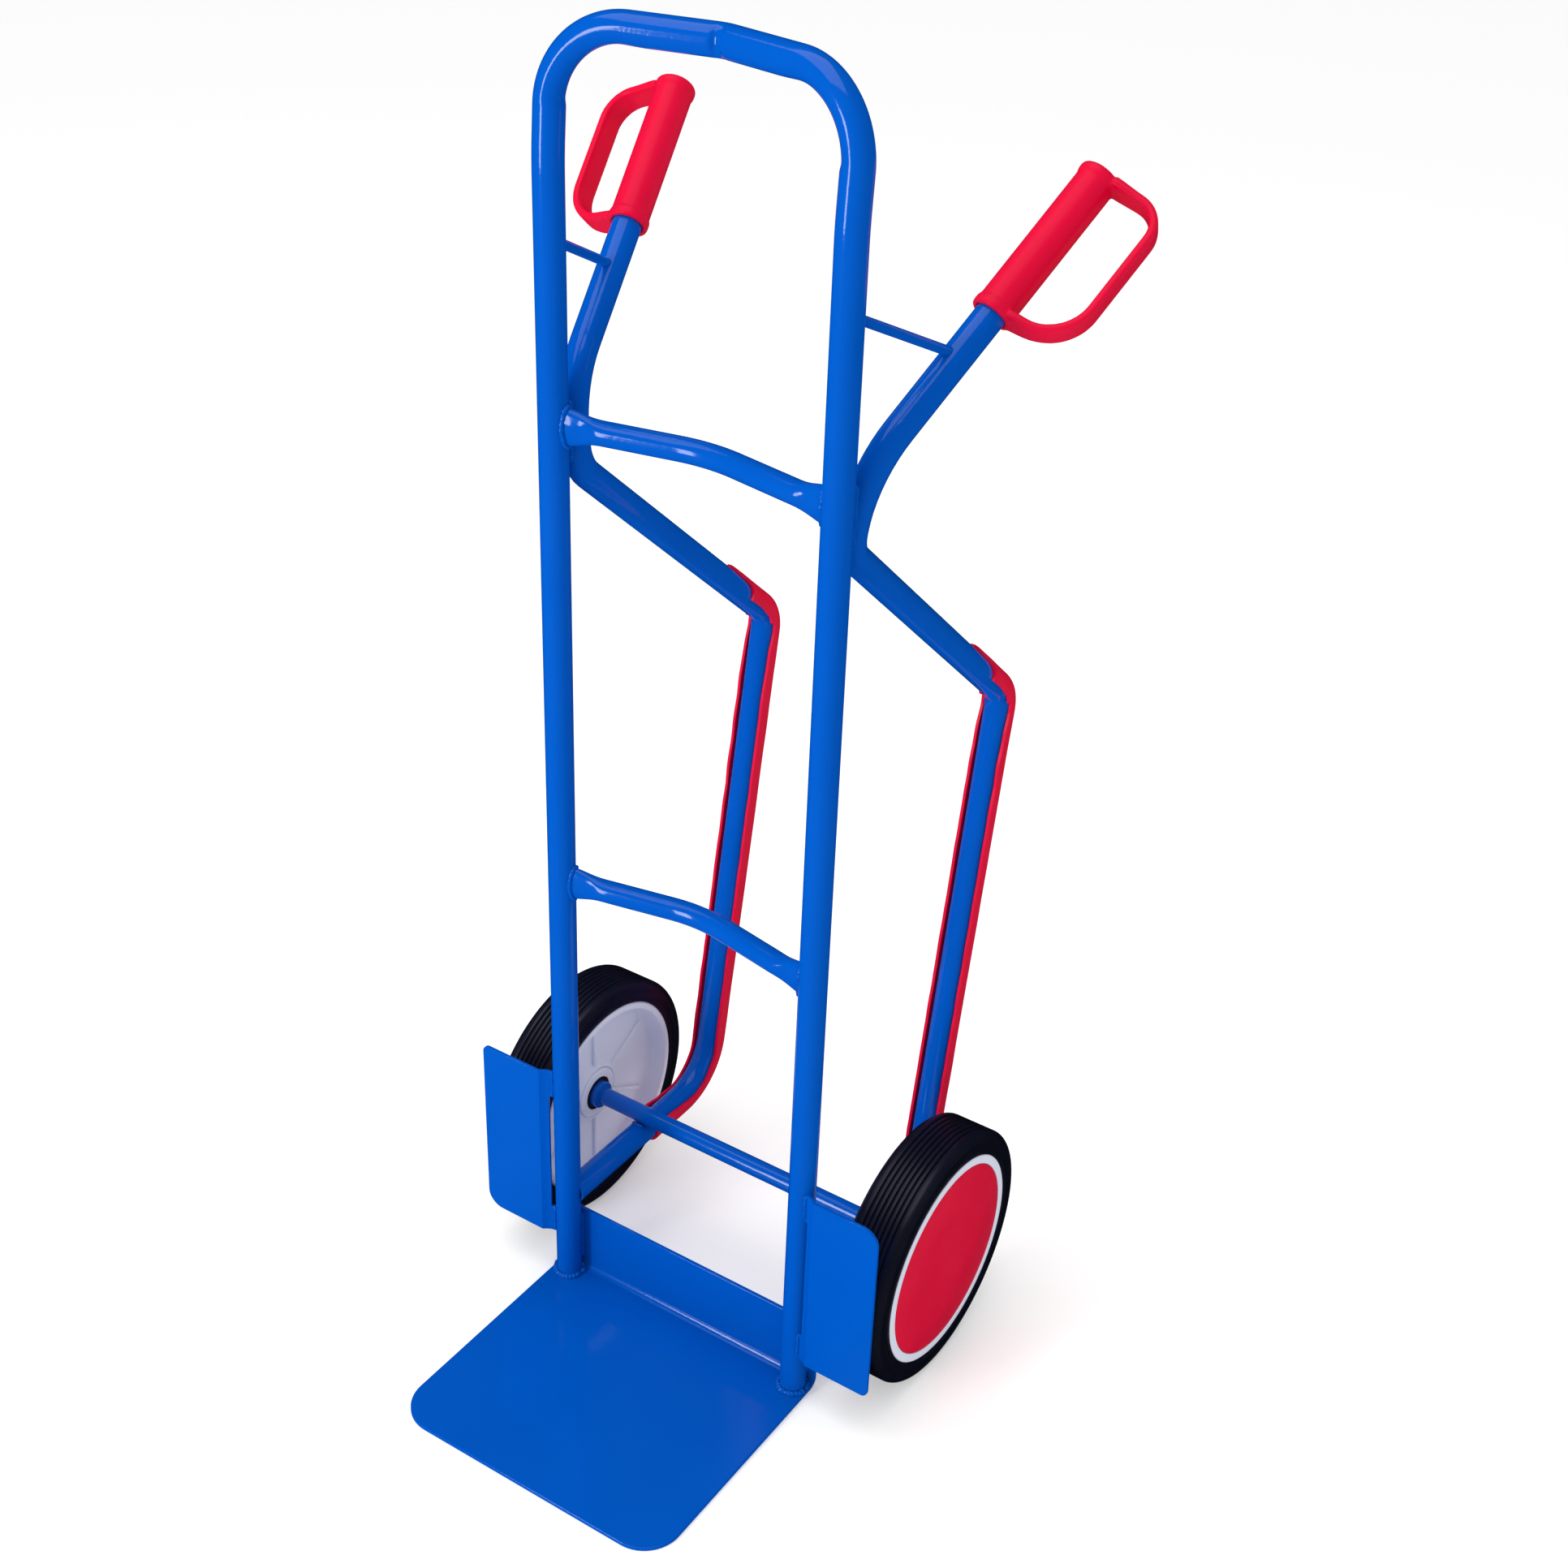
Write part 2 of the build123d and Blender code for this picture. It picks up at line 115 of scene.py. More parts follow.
# %% One material and its nodes
class Finish:
    def __init__(self, name, **constants):
        self.material = bpy.data.materials.new(name)
        self.material.use_nodes = True
        self.tree = self.material.node_tree
        self.surface = self.tree.nodes["Principled BSDF"]
        for socket, value in constants.items():
            self.surface.inputs[socket.replace("_", " ")].default_value = value

    def add(self, kind, settings=None, inputs=None, output=0):
        node = self.tree.nodes.new("ShaderNode" + kind)
        for name, value in (settings or {}).items():
            setattr(node, name, value)
        for key, value in (inputs or {}).items():
            self.feed(node.inputs[key], value)
        return Value(self, node.outputs[output])

    def feed(self, socket, value):
        if isinstance(value, Value):
            self.tree.links.new(value.socket, socket)
        else:
            socket.default_value = value

    def show(self, socket, value):
        self.feed(self.surface.inputs[socket], value)

    def place(self, centre=(0, 0, 0), scale=(1, 1, 1)):
        """Object coordinates, moved so that centre is at zero and stretched by scale."""
        shift = [-c * s for c, s in zip(centre, scale)]
        coordinates = self.add("TexCoord", output="Object")
        return self.add("Mapping", inputs={"Vector": coordinates, "Location": shift, "Scale": scale})

    def noise(self, vector, scale, detail=2.0):
        sockets = {"Vector": vector, "Scale": scale, "Detail": detail}
        return self.add("TexNoise", inputs=sockets)

    def blend(self, factor, first, second):
        """One colour turning into another; the Mix node's colour sockets are numbers 6 and 7."""
        return self.add("Mix", {"data_type": "RGBA"}, {0: factor, 6: first, 7: second}, output=2)

    def bump(self, height, distance, strength=1.0):
        sockets = {"Height": height, "Distance": distance, "Strength": strength}
        self.show("Normal", self.add("Bump", inputs=sockets))


def shade(red, green, blue):
    return (red, green, blue, 1.0)


# %% [markdown]
# ## Blue powder coat
# The steel is covered with a baked powder coat: thick, glossy and never quite flat, because the
# powder melts into a fine orange peel. Paint could be one flat colour, but then every tube looks
# like plastic. Two noises give it life: a fine one for the peel, which bends the reflections, and a
# broad one that makes the gloss and the blue drift a little along each tube.

# %% Blue powder coat
PEEL_SCALE = 260.0              # bumps per metre, about 4 mm across
PEEL_HEIGHT = 0.05 * mm


def powder_coat():
    finish = Finish("blue powder coat", Specular_IOR_Level=0.3)
    place = finish.place()
    broad = finish.noise(place, 9.0)
    peel = finish.noise(place, PEEL_SCALE, detail=1.0)
    deep = shade(0.0, 0.080, 0.45)
    bright = shade(0.0, 0.092, 0.50)
    finish.show("Base Color", finish.blend(broad, deep, bright))
    finish.show("Roughness", 0.07 + 0.06 * broad)
    finish.bump(peel, PEEL_HEIGHT)
    return finish.material


blue = powder_coat()
print("made", blue.name)

# %% [markdown]
# ## Red moulded plastic
# Grips, skid covers and hub discs are injection-moulded. Such plastic has a satin skin with a very
# fine texture from the mould, and it is slightly cloudier where the melt flowed slowly. The red
# stays strong even in shade, so the colour itself carries most of the look.

# %% Red plastic
GRAIN_SCALE = 1500.0            # grains per metre, under 1 mm across
GRAIN_HEIGHT = 0.02 * mm


def red_plastic():
    finish = Finish("red plastic", Specular_IOR_Level=0.1)
    place = finish.place()
    flow = finish.noise(place, 22.0)
    grain = finish.noise(place, GRAIN_SCALE, detail=0.0)
    finish.show("Base Color", finish.blend(flow, shade(0.66, 0.0, 0.034), shade(0.74, 0.001, 0.040)))
    finish.show("Roughness", 0.30 + 0.10 * flow)
    finish.bump(grain, GRAIN_HEIGHT, strength=0.5)
    return finish.material


red = red_plastic()
print("made", red.name)

# %% [markdown]
# ## Solid rubber
# The tyres are black rubber. Their grooves are real geometry, so the finish only adds what is too
# small to model: a dull bloom in soft patches and a fine cloth-like roughness that spreads the
# highlights into streaks.

# %% Tyre rubber
SKIN_SCALE = 900.0
SKIN_HEIGHT = 0.05 * mm


def tyre_rubber():
    finish = Finish("black rubber", Specular_IOR_Level=0.4)
    place = finish.place()
    bloom = finish.noise(place, 35.0, detail=4.0)
    skin = finish.noise(place, SKIN_SCALE)
    colour = finish.blend(bloom, shade(0.003, 0.004, 0.012), shade(0.006, 0.008, 0.024))
    finish.show("Base Color", colour)
    finish.show("Roughness", 0.24 + 0.22 * bloom)
    finish.bump(skin, SKIN_HEIGHT, strength=0.6)
    return finish.material


rubber = tyre_rubber()
print("made", rubber.name)

# %% [markdown]
# ## Pale rim plastic
# The rims are moulded in a milky white that leans towards lilac. A little subsurface scattering lets
# light bleed round the lip and the ribs, as it does in real translucent plastic.

# %% Rim plastic
def rim_plastic():
    finish = Finish("pale rim plastic", Specular_IOR_Level=0.3, Subsurface_Weight=0.05)
    place = finish.place()
    cloud = finish.noise(place, 14.0)
    finish.show("Base Color", finish.blend(cloud, shade(0.68, 0.71, 0.86), shade(0.78, 0.80, 0.92)))
    finish.show("Roughness", 0.30 + 0.12 * cloud)
    return finish.material


pale = rim_plastic()
print("made", pale.name)

# %% [markdown]
# ## Small hub parts
# The seal ring is black nylon, the bushes are blue nylon and the washer and circlip are zinc plated.
# They are seen only deep in the hub, so each gets a short finish of its own: plain nylon needs a
# gentle gloss, and zinc needs a metal with patchy roughness.

# %% Nylon and zinc
def nylon(name, colour):
    finish = Finish(name)
    soft = finish.noise(finish.place(), 60.0)
    lighter = shade(*[min(1.0, c * 1.5 + 0.004) for c in colour])
    finish.show("Base Color", finish.blend(soft, shade(*colour), lighter))
    finish.show("Roughness", 0.35 + 0.15 * soft)
    return finish.material


def zinc_plate():
    finish = Finish("zinc plate", Metallic=1.0)
    patches = finish.noise(finish.place(), 180.0, detail=3.0)
    finish.show("Base Color", finish.blend(patches, shade(0.50, 0.51, 0.52), shade(0.72, 0.73, 0.74)))
    finish.show("Roughness", 0.25 + 0.25 * patches)
    return finish.material


black_nylon = nylon("black nylon", (0.006, 0.006, 0.010))
blue_nylon = nylon("blue nylon", (0.02, 0.05, 0.20))
zinc = zinc_plate()
print("made", black_nylon.name, blue_nylon.name, zinc.name)

# %% [markdown]
# ## Painting the CAD nodes
# The record gives each node a material slot. That is all that is needed to hand out the finishes, so
# no node is painted by hand, and a node that is later replaced loses nothing.

# %% Give every node its finish
SLOT_FINISH = {
    "blue_paint": blue,
    "red_plastic": red,
    "tyre_rubber": rubber,
    "rim_plastic": pale,
    "bush_plastic": blue_nylon,
    "black_plastic": black_nylon,
    "zinc_steel": zinc,
}
node_slot = {row["node"]: row["material_slot"] for row in frame["record"]["subparts"]}
for node, thing in frame["nodes"].items():
    thing.data.materials.clear()
    thing.data.materials.append(SLOT_FINISH[node_slot[node]])
print("painted", len(node_slot), "nodes")

# %% [markdown]
# ## From a bmesh to a finished piece
# Every new piece ends the same way: its doubles are merged, its normals face outwards, flat and round
# faces are shaded apart by angle, and it rides on its CAD body. One function does that, so a piece's
# own cell only has to describe its shape.

# %% Finish a piece
MERGE_DISTANCE = 0.002 * mm


def piece(name, shape, finish, body, replaces=(), sharp=35.0):
    bmesh.ops.remove_doubles(shape, verts=shape.verts, dist=MERGE_DISTANCE)
    bmesh.ops.recalc_face_normals(shape, faces=shape.faces)
    mesh = bpy.data.meshes.new(name)
    shape.to_mesh(mesh)
    shape.free()
    for polygon in mesh.polygons:
        polygon.use_smooth = True
    mesh.set_sharp_from_angle(angle=math.radians(sharp))
    mesh.materials.append(finish)
    thing = bpy.data.objects.new(name, mesh)
    bpy.context.scene.collection.objects.link(thing)
    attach(thing, body)
    if replaces:
        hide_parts(*replaces)
    print(name, len(mesh.polygons), "faces")
    return thing


def join_shapes(shapes):
    """One bmesh that holds all the given ones."""
    whole = bmesh.new()
    for shape in shapes:
        holder = bpy.data.meshes.new("holder")
        shape.to_mesh(holder)
        shape.free()
        whole.from_mesh(holder)
        bpy.data.meshes.remove(holder)
    return whole


# %% [markdown]
# ## Turning a profile
# Everything on the wheel is round, so it is made as on a lathe: a closed outline, given as distance
# across the truck and radius, is spun once round the axle. The outline is a list of corners, and a
# short arc helper rounds the ones that are round on the real part.

# %% Lathe and arcs
LATHE_STEPS = 144


def arc(x, r, radius, start, stop, steps=5):
    """Points on an arc about (x, r); angles in degrees, 0 towards +x and 90 towards larger r."""
    angles = [math.radians(start + (stop - start) * i / steps) for i in range(steps + 1)]
    return [(x + radius * math.cos(a), r + radius * math.sin(a)) for a in angles]


def turned(outline, side):
    """Spins a closed outline of (x, r) points in metres, with x measured outwards, round the axle."""
    shape = bmesh.new()
    corners = [shape.verts.new((side * x, wheel_centre.y, wheel_centre.z + r)) for x, r in outline]
    for first, second in zip(corners, corners[1:] + corners[:1]):
        shape.edges.new((first, second))
    geometry = shape.verts[:] + shape.edges[:]
    centre = Vector((0, wheel_centre.y, wheel_centre.z))
    bmesh.ops.spin(shape, geom=geometry, cent=centre, axis=ACROSS, dvec=(0, 0, 0),
                   angle=math.tau, steps=LATHE_STEPS, use_merge=True)
    return shape


# %% [markdown]
# ## Tyres
# The tread has narrow grooves all the way round, with softly rounded edges, and flat bands between
# them. The shoulders roll over into a plain sidewall with one raised bead line. All of it is one
# outline, so the lathe makes the whole tyre in a single spin.

# %% Tyres
GROOVES = 7
GROOVE_PITCH = 5.2 * mm
GROOVE_WIDTH = 1.5 * mm
GROOVE_DEPTH = 2.4 * mm
SHOULDER = 8 * mm
rim_radius = size("right_rim").z / 2
tyre_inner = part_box("right_tyre")[0].x
tyre_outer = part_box("right_tyre")[1].x


def groove(x):
    half = GROOVE_WIDTH / 2
    floor = tyre_radius - GROOVE_DEPTH
    lip = 0.35 * mm
    return [
        (x - half - lip, tyre_radius),
        (x - half - lip * 0.3, tyre_radius - lip * 0.3),
        (x - half, tyre_radius - lip),
        (x - half * 0.7, floor + lip),
        (x, floor),
        (x + half * 0.7, floor + lip),
        (x + half, tyre_radius - lip),
        (x + half + lip * 0.3, tyre_radius - lip * 0.3),
        (x + half + lip, tyre_radius),
    ]


def sidewall(x, outwards):
    """The plain side with its bead line, from the rim to the start of the shoulder."""
    line = 1.2 * mm
    height = 0.4 * mm
    bead_r = rim_radius + 4 * mm
    return [
        (x - outwards * height * 2, rim_radius),
        (x - outwards * height, rim_radius + 1 * mm),
        (x - outwards * height, bead_r),
        (x, bead_r + line),
        (x, bead_r + 2 * line),
        (x - outwards * height, bead_r + 3 * line),
        (x - outwards * height * 0.5, tyre_radius - SHOULDER - 2 * mm),
    ]


def tyre_outline():
    outline = sidewall(tyre_inner, -1)
    outline += arc(tyre_inner + SHOULDER, tyre_radius - SHOULDER, SHOULDER, 180, 90, steps=8)
    wheel_x = (tyre_inner + tyre_outer) / 2
    for index in range(GROOVES):
        outline += groove(wheel_x + (index - (GROOVES - 1) / 2) * GROOVE_PITCH)
    outline += arc(tyre_outer - SHOULDER, tyre_radius - SHOULDER, SHOULDER, 90, 0, steps=8)
    outline += sidewall(tyre_outer, 1)[::-1]
    return outline


for name, side in SIDES.items():
    piece(name + "_tyre_tread", turned(tyre_outline(), side), rubber, name + "_wheel",
          replaces=[name + "_tyre"], sharp=50)

# %% [markdown]
# ## Rims
# On the inner side the rim is a bowl: a rolled lip, a wall that sweeps down in a soft curve, a flat
# web and a raised hub boss. Ribs stiffen the web. The lathe gives the bowl, and each rib is a box
# whose edges are bevelled until it reads as a moulded ridge.

# %% Rim bowls
WEB_DEPTH = 20 * mm             # web behind the wheel's inner face
WEB_THICKNESS = 5 * mm
hub_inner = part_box("right_hub_seal")[0].x
seal_radius = size("right_hub_seal").z / 2
cap_radius = size("right_hub_cap").z / 2
hub_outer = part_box("right_outer_bush")[1].x
bush_radius = size("right_outer_bush").z / 2


def rim_outline():
    edge = rim_radius - 0.2 * mm
    web = tyre_inner + WEB_DEPTH
    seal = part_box("right_hub_seal")[1].x
    bowl = [(tyre_inner + 2.0 * mm, edge)]
    bowl += arc(tyre_inner + 1.6 * mm, rim_radius - 2.6 * mm, 1.6 * mm, 90, 180, steps=4)
    bowl += arc(tyre_inner + 1.6 * mm, rim_radius - 6.4 * mm, 1.6 * mm, 180, 260, steps=4)
    bowl += arc(web - 6 * mm, rim_radius - 16.0 * mm, 6 * mm, 80, 10, steps=5)
    bowl += [
        (web, rim_radius - 18 * mm),
        (web, 37 * mm),
        (web - 0.8 * mm, 34.5 * mm),
        (web - 3.4 * mm, 32 * mm),
        (web - 4.6 * mm, 29.0 * mm),
    ]
    bowl += arc(hub_inner + 2.5 * mm, 24.5 * mm, 2.5 * mm, 60, 180, steps=5)
    bowl += [(hub_inner, seal_radius + 0.3 * mm), (seal, seal_radius + 0.3 * mm), (seal, bush_radius)]
    back = [(hub_outer, bush_radius), (hub_outer, 24 * mm), (web + WEB_THICKNESS, 26 * mm),
            (web + WEB_THICKNESS, rim_radius - 8 * mm),
            (tyre_outer - 5 * mm, rim_radius - 6 * mm), (tyre_outer - 4 * mm, cap_radius + 0.4 * mm)]
    back += arc(tyre_outer - 1.2 * mm, cap_radius + 1.6 * mm, 1.2 * mm, 270, 360, steps=4)[1:]
    back += arc(tyre_outer - 1.8 * mm, rim_radius - 2.0 * mm, 1.8 * mm, 0, 90, steps=4)
    return bowl + back


RIBS = 6
RIB_WIDTH = 4.4 * mm
RIB_HEIGHT = 3.2 * mm


def rib(side, turn):
    """One ridge on the web, from the hub boss to the bowl's wall."""
    web = tyre_inner + WEB_DEPTH
    low, high = 30 * mm, rim_radius - 18 * mm
    shape = bmesh.new()
    bmesh.ops.create_cube(shape, size=1.0)
    bmesh.ops.scale(shape, verts=shape.verts, vec=(2 * RIB_HEIGHT, RIB_WIDTH, high - low))
    bmesh.ops.bevel(shape, geom=shape.edges[:], offset=RIB_WIDTH * 0.3, segments=3, profile=0.5,
                    affect="EDGES", material=-1)
    bmesh.ops.translate(shape, verts=shape.verts, vec=(side * web, 0, (low + high) / 2))
    bmesh.ops.rotate(shape, verts=shape.verts, cent=(0, 0, 0), matrix=Matrix.Rotation(turn, 3, "X"))
    bmesh.ops.translate(shape, verts=shape.verts, vec=(0, wheel_centre.y, wheel_centre.z))
    return shape


for name, side in SIDES.items():
    ribs = [rib(side, math.tau * index / RIBS) for index in range(RIBS)]
    piece(name + "_rim_bowl", join_shapes([turned(rim_outline(), side)] + ribs), pale,
          name + "_wheel", replaces=[name + "_rim"])

# %% [markdown]
# ## Hub discs
# A flat red disc closes the outer side. It is nearly flat, so what makes it real is its edge: a small
# radius, then a narrow step down into the rim. The same lathe turns it, from the middle outwards.

# %% Hub discs
def hub_disc_outline():
    face = tyre_outer - 0.2 * mm
    back = tyre_outer - 2.4 * mm
    outline = [(face - 0.1 * mm, 0.05 * mm), (face, cap_radius * 0.5), (face, cap_radius - 1.2 * mm)]
    outline += arc(face - 0.9 * mm, cap_radius - 0.9 * mm, 0.9 * mm, 80, 0, steps=4)
    outline += [(back, cap_radius), (back, 0.05 * mm)]
    return outline


for name, side in SIDES.items():
    piece(name + "_hub_disc", turned(hub_disc_outline(), side), red, name + "_wheel",
          replaces=[name + "_hub_cap"])

# %% [markdown]
# ## Sheet metal
# The toe plate and the wheel guards are cut from sheet. Modelling a sheet as one flat face, rounding
# its corners, bending it and only then giving it a thickness follows how it is really made, and it
# keeps every edge editable. Bending is a spin of the edge about the bend's centre.

# %% Sheet helpers
def flat_sheet(corners):
    """One flat face through the given corners."""
    shape = bmesh.new()
    shape.faces.new([shape.verts.new(corner) for corner in corners])
    return shape


def round_corners(shape, chosen, radius, segments):
    corners = [v for v in shape.verts if chosen(v.co)]
    bmesh.ops.bevel(shape, geom=corners, offset=radius, offset_type="OFFSET", segments=segments,
                    profile=0.5, affect="VERTICES", material=-1)


def thicken(thing, thickness, edge):
    """Gives a sheet its wall, centred on the face, and breaks its cut edges."""
    wall = thing.modifiers.new("wall", "SOLIDIFY")
    wall.thickness = thickness
    wall.offset = 0.0
    rounding = thing.modifiers.new("rounding", "BEVEL")
    rounding.width = edge
    rounding.segments = 3
    rounding.limit_method = "ANGLE"
    rounding.angle_limit = math.radians(40)
    rounding.harden_normals = True


# %% [markdown]
# ## Toe plate
# The load stands on this plate. Its front corners are rounded and its rear edge is bent up behind the
# uprights, so the spin that makes the bend is followed by one extrusion for the upstand.

# %% Toe plate
TOE_CORNER = 37 * mm
UPSTAND_CORNER = 6 * mm
toe_low, toe_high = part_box("toe_plate")
PLATE = 4 * mm
BEND_RADIUS = 8 * mm            # to the middle of the sheet


def toe_plate():
    half = toe_high.x
    floor_z = toe_low.z + PLATE / 2
    wall_y = toe_high.y - PLATE / 2
    rear_y = wall_y - BEND_RADIUS
    corners = [(-half, toe_low.y, floor_z), (half, toe_low.y, floor_z), (half, rear_y, floor_z),
               (-half, rear_y, floor_z)]
    shape = flat_sheet(corners)
    round_corners(shape, lambda p: p.y < toe_low.y + mm, TOE_CORNER, 14)
    rear = [e for e in shape.edges if all(v.co.y > rear_y - 0.01 * mm for v in e.verts)]
    bent = bmesh.ops.spin(shape, geom=rear, cent=(0, rear_y, floor_z + BEND_RADIUS), axis=ACROSS,
                          dvec=(0, 0, 0), angle=math.pi / 2, steps=8, use_duplicate=False)
    last = [e for e in bent["geom_last"] if isinstance(e, bmesh.types.BMEdge)]
    raised = bmesh.ops.extrude_edge_only(shape, edges=last)["geom"]
    tops = [v for v in raised if isinstance(v, bmesh.types.BMVert)]
    for top in tops:
        top.co.z = toe_high.z
    bmesh.ops.bevel(shape, geom=tops, offset=UPSTAND_CORNER, segments=5, profile=0.5,
                    affect="VERTICES", material=-1)
    return shape


toe = piece("toe_plate_sheet", toe_plate(), blue, "truck", replaces=["toe_plate"], sharp=40)
thicken(toe, PLATE, 0.7 * mm)

# %% [markdown]
# ## Rolling a grid round a line
# Tubes, weld beads, skid covers and knuckle guards all follow a line. A flat grid is rolled round that
# line: one direction of the grid runs along it, the other goes round it, and a section formula says how
# far out each point lies. A Route is such a line, with straight runs joined by tangent arcs.

# %% Route and rolled grid
class Route:
    def __init__(self, corners, radii):
        self.pieces = []
        self.length = 0.0
        start = Vector(corners[0])
        for corner, after, radius in zip(corners[1:], corners[2:], radii):
            corner, after = Vector(corner), Vector(after)
            coming, going = (corner - start).normalized(), (after - corner).normalized()
            turn = coming.angle(going)
            setback = radius * math.tan(turn / 2)
            self.extend(start, corner - coming * setback, coming, None, 0.0)
            start = corner + going * setback
            self.extend(corner - coming * setback, start, coming, going, radius)
        self.extend(start, Vector(corners[-1]), (Vector(corners[-1]) - start).normalized(), None, 0.0)

    def extend(self, start, stop, coming, going, radius):
        reach = radius * coming.angle(going) if going else (stop - start).length
        self.pieces.append((self.length, reach, start, coming, going, radius))
        self.length += reach

    def at(self, distance):
        """The point that lies this far along the line."""
        begin, reach, start, coming, going, radius = self.pieces[0]
        for begin, reach, start, coming, going, radius in self.pieces:
            if distance <= begin + reach:
                break
        along = distance - begin
        if not going:
            return start + coming * along
        inwards = (going - coming * coming.dot(going)).normalized()
        turn = along / radius
        return start + coming * radius * math.sin(turn) + inwards * radius * (1 - math.cos(turn))


def rolled(line, length, section, reference, around=32, step=3 * mm):
    """Grid rolled round a line; section(distance, angle) gives the offsets beside and above it."""
    shape = bmesh.new()
    rows = max(2, round(length / step))
    bmesh.ops.create_grid(shape, x_segments=rows, y_segments=around, size=0.5)
    reach = step / 2
    frames = {}
    for vert in shape.verts:
        distance = (vert.co.x + 0.5) * length
        key = round(distance / mm, 3)
        if key not in frames:
            ahead = (line(distance + reach) - line(distance - reach)).normalized()
            beside = (reference - ahead * reference.dot(ahead)).normalized()
            frames[key] = (line(distance), beside, ahead.cross(beside))
        here, beside, above = frames[key]
        offset, height = section(distance, (vert.co.y + 0.5) * math.tau)
        vert.co = here + beside * offset + above * height
    return shape


def smooth_step(low, high, value):
    share = min(1.0, max(0.0, (value - low) / (high - low)))
    return share * share * (3 - 2 * share)


# %% [markdown]
# ## The hoop
# A tube does not stay round where it is bent. The corners are pressed a little flat on their inner
# side, and the middle of the top bar was folded over an edge, which leaves a short crease with a flat
# facet in it. Both are small changes of radius in the section formula.

# %% Hoop
TUBE = 12.5 * mm
UPRIGHT_X = 134 * mm
HOOP_TOP = 1218 * mm
LEAN_Z = 1120 * mm
LEAN = 7 * mm
BOW = 28 * mm
CORNER = 62 * mm
PLATE_TOP = PLATE
PRESSED = 1.3 * mm              # how far the corners' inner side is pressed in
CREASE_DEPTH = 2.2 * mm
CREASE_HALF = 8 * mm
LEAN_RADIUS = 400 * mm          # the gentle bend where the uprights start to lean
FOLD_RADIUS = 34 * mm           # the bend in the middle of the top bar


def hoop_route():
    corners = [(-UPRIGHT_X, 0, PLATE_TOP), (-UPRIGHT_X, 0, LEAN_Z), (-UPRIGHT_X, LEAN, HOOP_TOP),
               (0, LEAN + BOW, HOOP_TOP), (UPRIGHT_X, LEAN, HOOP_TOP), (UPRIGHT_X, 0, LEAN_Z),
               (UPRIGHT_X, 0, PLATE_TOP)]
    return Route(corners, [LEAN_RADIUS, CORNER, FOLD_RADIUS, CORNER, LEAN_RADIUS])


def hoop_shape():
    route = hoop_route()
    corner_start = HOOP_TOP - CORNER - PLATE_TOP
    corner_end = corner_start + CORNER * math.pi / 2

    def section(distance, angle):
        from_end = min(distance, route.length - distance)
        bend = smooth_step(corner_start, corner_start + 9 * mm, from_end)
        bend *= 1 - smooth_step(corner_end - 20 * mm, corner_end + 20 * mm, from_end)
        inner_side = max(0.0, -math.sin(angle))
        radius = TUBE - PRESSED * bend * inner_side
        from_middle = abs(distance - route.length / 2)
        crease = 1 - smooth_step(CREASE_HALF * 0.35, CREASE_HALF, from_middle)
        front = max(0.0, -math.cos(angle)) ** 2
        radius -= CREASE_DEPTH * crease * front
        return radius * math.cos(angle), radius * math.sin(angle)

    return rolled(route.at, route.length, section, REARWARD, around=48, step=1.6 * mm)


piece("hoop_tube", hoop_shape(), blue, "truck", replaces=["frame_hoop"], sharp=60)

# %% [markdown]
# ## Cross bars
# Each bar is squeezed between jaws at both ends, so it flares upwards and downwards and gets thin from
# front to back. The jaws leave a shallow dimple on the front. The ends run just into the uprights.

# %% Cross bars
BAR = 10.25 * mm
FLARE_LENGTH = 38 * mm
FLARE_HEIGHT = 16 * mm
FLARE_DEPTH = 6.5 * mm
BAR_BOW = 27 * mm
DIMPLE = 1.8 * mm
BAR_BEND = 140 * mm


def crossbar_shape(z):
    inset = UPRIGHT_X - TUBE + 1.5 * mm
    end_y = BAR_BOW * (1 - inset / UPRIGHT_X)
    route = Route([(-inset, end_y, z), (0, BAR_BOW, z), (inset, end_y, z)], [BAR_BEND])

    def section(distance, angle):
        from_end = min(distance, route.length - distance)
        flare = 1 - smooth_step(0, FLARE_LENGTH, from_end)
        height = BAR + (FLARE_HEIGHT - BAR) * flare ** 1.6
        depth = BAR + (FLARE_DEPTH - BAR) * flare
        dimple = math.exp(-((from_end - 17 * mm) / (7 * mm)) ** 2)
        front = max(0.0, -math.cos(angle)) ** 3
        return (depth - DIMPLE * dimple * front) * math.cos(angle), height * math.sin(angle)

    return rolled(route.at, route.length, section, REARWARD, around=40, step=2 * mm)


for level in ("upper", "lower"):
    bar_z = middle("crossbar_" + level).z
    piece(level + "_bar", crossbar_shape(bar_z), blue, "truck", replaces=["crossbar_" + level], sharp=60)

# %% [markdown]
# ## Wheel guards
# A guard is a flat sheet whose inner margin is folded back towards the upright. A long slot separates
# the two tabs that are welded on. The flat outline is made first, with its slot, and the fold is then a
# smooth shift of the inner margin to the rear.

# %% Wheel guards
GUARD = 3 * mm
TAB_HEIGHT = 30 * mm
FOLD_START = 155.5 * mm         # the sheet is flat outside here
SLOT_EDGE = 147.4 * mm
TAB_END = 143 * mm              # where the tabs meet the upright
FOLD_SHIFT = 5.8 * mm           # how far back they meet it
FOLD_POWER = 1.9                # how sharply the margin turns near the flat part
WIDE_CORNER = 17 * mm
TIGHT_CORNER = 7 * mm
FOLD_CUTS = 10


